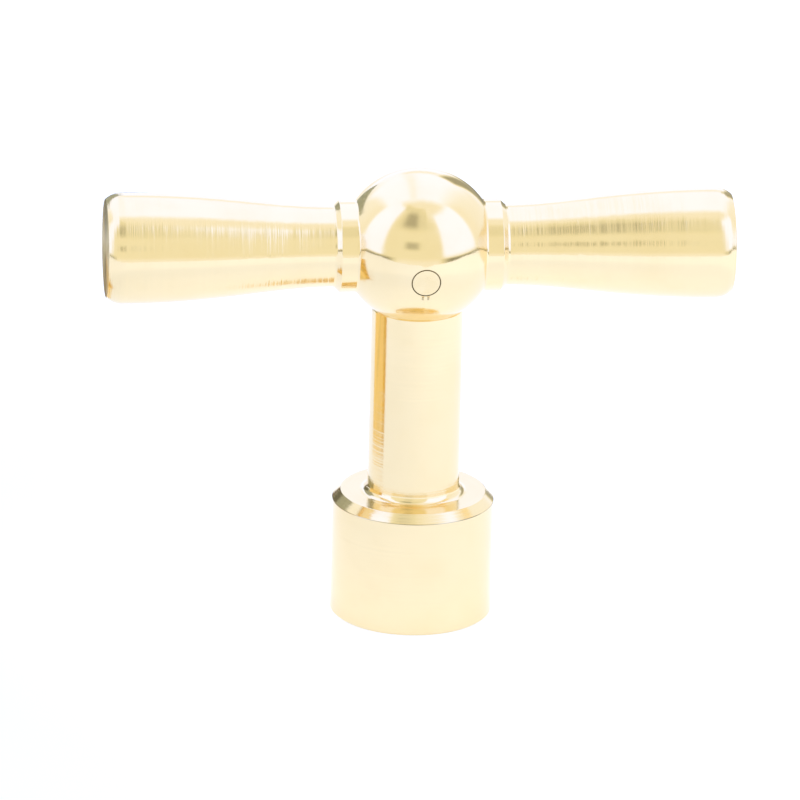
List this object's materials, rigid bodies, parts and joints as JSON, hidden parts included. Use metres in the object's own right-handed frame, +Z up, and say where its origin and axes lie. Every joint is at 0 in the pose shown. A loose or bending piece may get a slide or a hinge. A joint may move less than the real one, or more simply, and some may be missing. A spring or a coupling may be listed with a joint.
{
  "type": "radiator bleed key",
  "caption": "Turned brass T-handle key: a ball hub with flared arms, pinned to a stem that ends in a square socket for a radiator bleed valve.",
  "frame": {"origin": "centre of the socket's mouth face, at the foot of the key", "axes": "+Z up the stem to the handle, +X along the handle's arms, +Y from the front end of the cross pin to its back end"},
  "size_m": [0.0462, 0.012, 0.0343],
  "materials": {
    "handle": "polished, with fine turning marks on the arms",
    "stem_socket": "polished, with fine turning marks",
    "cross_pin": "end faces filed flush and polished with the ball"
  },
  "bodies": {
    "root": {"handle": "handle", "stem_socket": "stem_socket", "cross_pin": "cross_pin"}
  },
  "joints": []
}
